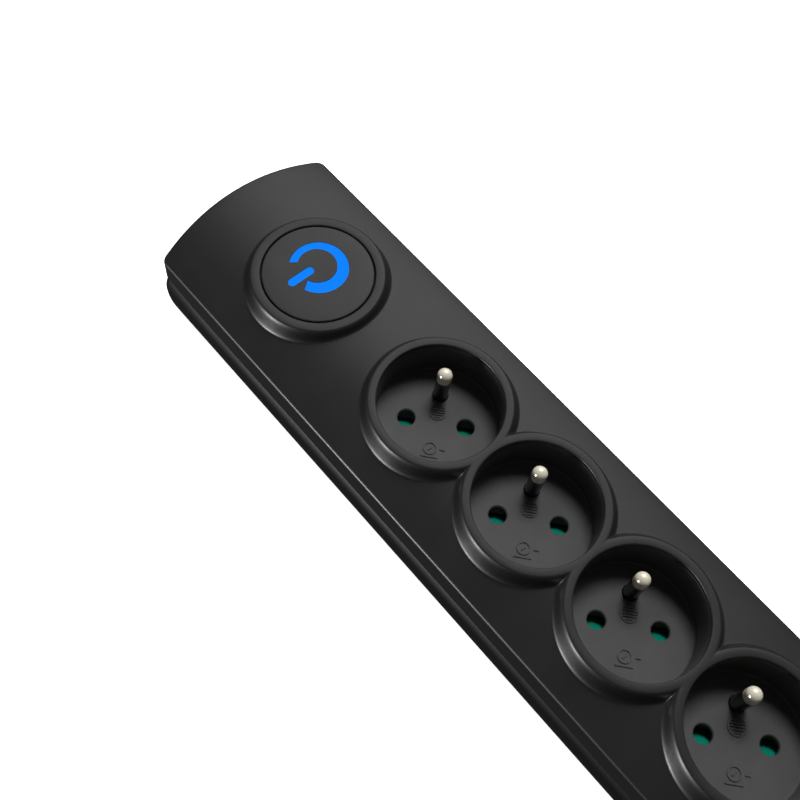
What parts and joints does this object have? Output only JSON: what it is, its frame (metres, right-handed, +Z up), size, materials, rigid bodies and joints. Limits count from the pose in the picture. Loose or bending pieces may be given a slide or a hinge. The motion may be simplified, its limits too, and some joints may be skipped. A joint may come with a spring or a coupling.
{
  "type": "surge-protected socket strip",
  "caption": "Long satin-black socket strip with round earth-pin sockets in merged raised rings and a lit round push button.",
  "frame": {"origin": "centre of the overall box on the surface that the rubber feet stand on", "axes": "+X along the strip from the button end to the cord end, +Z up out of the sockets, +Y across"},
  "size_m": [0.318, 0.0688, 0.041],
  "materials": {
    "cover": "black satin ABS, fine texture",
    "case": "black satin ABS",
    "insert": "matte black heat-resistant plastic",
    "button": "black satin plastic",
    "symbol": "lit translucent blue",
    "shutter": "teal green acetal",
    "pin": "nickel-plated brass",
    "spring": "spring steel",
    "brass": "stamped brass",
    "carrier": "natural nylon",
    "switch": "black nylon",
    "plunger": "natural acetal",
    "led": "clear epoxy",
    "board": "green solder mask",
    "varistor": "blue epoxy",
    "fuse": "cream ceramic",
    "gland": "black moulded rubber",
    "clamp": "black nylon",
    "screw": "zinc plated",
    "foot": "black rubber",
    "brown_wire": "brown PVC",
    "blue_wire": "blue PVC",
    "earth_wire": "green and yellow PVC"
  },
  "bodies": {
    "housing": {"top_cover": "cover", "bottom_case": "case", "socket_insert_1": "insert", "earth_pin_1": "pin", "shutter_spring_1": "spring", "socket_insert_2": "insert", "earth_pin_2": "pin", "shutter_spring_2": "spring", "socket_insert_3": "insert", "earth_pin_3": "pin", "shutter_spring_3": "spring", "socket_insert_4": "insert", "earth_pin_4": "pin", "shutter_spring_4": "spring", "socket_insert_5": "insert", "earth_pin_5": "pin", "shutter_spring_5": "spring", "live_busbar": "brass", "neutral_busbar": "brass", "earth_busbar": "brass", "contact_carrier": "carrier", "button_spring": "spring", "switch_body": "switch", "status_led": "led", "surge_board": "board", "varistor_1": "varistor", "varistor_2": "varistor", "varistor_3": "varistor", "thermal_fuse": "fuse", "cord_gland": "gland", "cord_clamp": "clamp", "clamp_screw_1": "screw", "clamp_screw_2": "screw", "case_screw_1": "screw", "case_screw_2": "screw", "case_screw_3": "screw", "case_screw_4": "screw", "case_screw_5": "screw", "case_screw_6": "screw", "rubber_foot_1": "foot", "rubber_foot_2": "foot", "rubber_foot_3": "foot", "rubber_foot_4": "foot", "lead_live": "brown_wire", "lead_neutral": "blue_wire", "lead_switched_live": "brown_wire", "lead_switched_neutral": "blue_wire", "lead_earth": "earth_wire"},
    "button": {"power_button": "button", "symbol_light_guide": "symbol", "switch_plunger": "plunger"},
    "shutter_1": {"shutter_1": "shutter"},
    "shutter_2": {"shutter_2": "shutter"},
    "shutter_3": {"shutter_3": "shutter"},
    "shutter_4": {"shutter_4": "shutter"},
    "shutter_5": {"shutter_5": "shutter"}
  },
  "joints": [
    {"name": "button_press", "type": "slide", "parent": "housing", "child": "button", "axis": [0, 0, -1], "range_m": [0, 0.003], "stiffness_N_per_m": 900, "springref_m": -0.0015, "deforming": ["button_spring"]},
    {"name": "shutter_1_slide", "type": "slide", "parent": "housing", "child": "shutter_1", "axis": [0.6428, -0.766, 0], "range_m": [0, 0.006], "stiffness_N_per_m": 150, "springref_m": -0.002, "deforming": ["shutter_spring_1"]},
    {"name": "shutter_2_slide", "type": "slide", "parent": "housing", "child": "shutter_2", "axis": [0.6428, -0.766, 0], "range_m": [0, 0.006], "stiffness_N_per_m": 150, "springref_m": -0.002, "deforming": ["shutter_spring_2"]},
    {"name": "shutter_3_slide", "type": "slide", "parent": "housing", "child": "shutter_3", "axis": [0.6428, -0.766, 0], "range_m": [0, 0.006], "stiffness_N_per_m": 150, "springref_m": -0.002, "deforming": ["shutter_spring_3"]},
    {"name": "shutter_4_slide", "type": "slide", "parent": "housing", "child": "shutter_4", "axis": [0.6428, -0.766, 0], "range_m": [0, 0.006], "stiffness_N_per_m": 150, "springref_m": -0.002, "deforming": ["shutter_spring_4"]},
    {"name": "shutter_5_slide", "type": "slide", "parent": "housing", "child": "shutter_5", "axis": [0.6428, -0.766, 0], "range_m": [0, 0.006], "stiffness_N_per_m": 150, "springref_m": -0.002, "deforming": ["shutter_spring_5"]}
  ]
}
